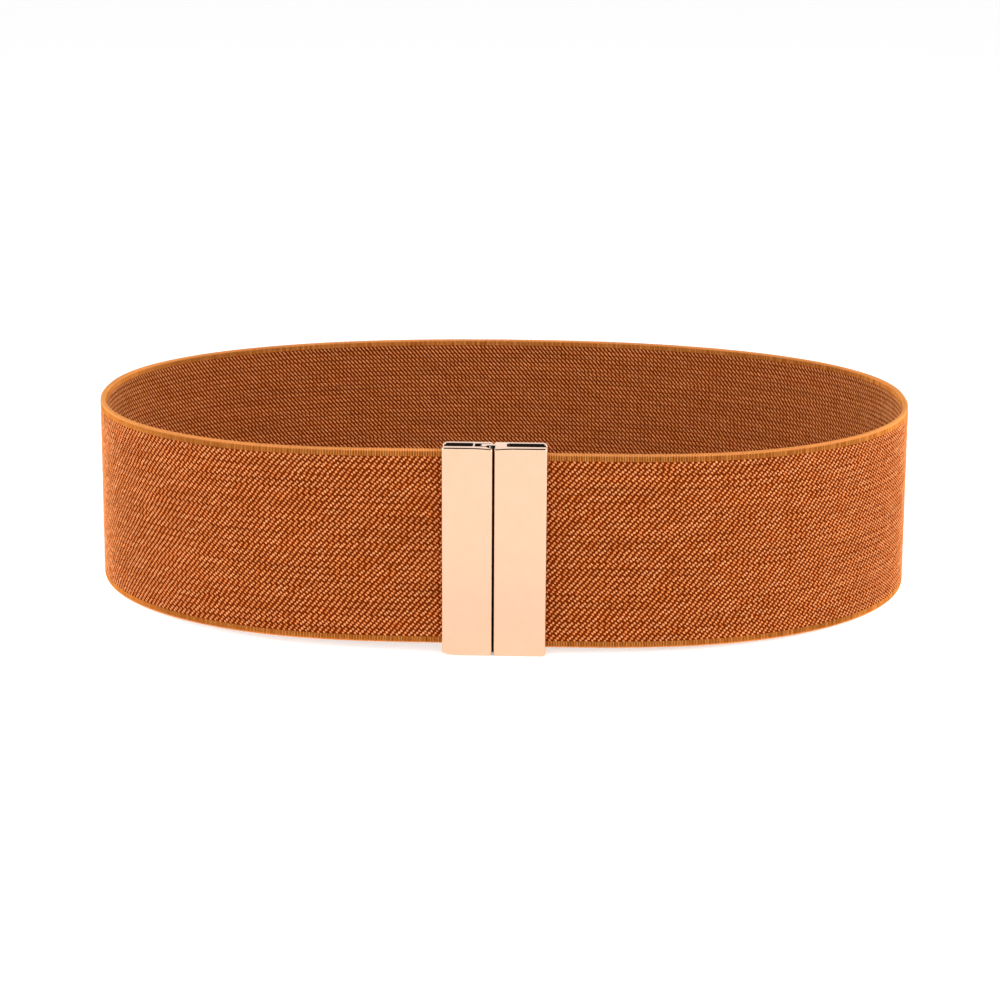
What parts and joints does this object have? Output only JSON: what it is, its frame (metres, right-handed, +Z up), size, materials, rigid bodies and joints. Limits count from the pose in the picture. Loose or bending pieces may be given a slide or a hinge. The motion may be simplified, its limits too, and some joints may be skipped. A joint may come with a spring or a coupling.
{
  "type": "elastic stretch belt",
  "caption": "Wide woven elastic waist belt bent to an open loop, closed in front by a flat two-part hook clasp of plated metal.",
  "frame": {"origin": "middle of the belt's footprint, on the surface that it stands on", "axes": "+X across the loop to the wearer's left, +Y from the clasp towards the back of the loop, +Z up"},
  "size_m": [0.344, 0.2508, 0.0816],
  "materials": {
    "elastic": "ribbed woven elastic, tan orange, matt",
    "plated_clasp": "polished pale rose gold plating"
  },
  "bodies": {
    "root": {"band": "elastic", "clasp_left": "plated_clasp", "clasp_right": "plated_clasp"}
  },
  "joints": []
}
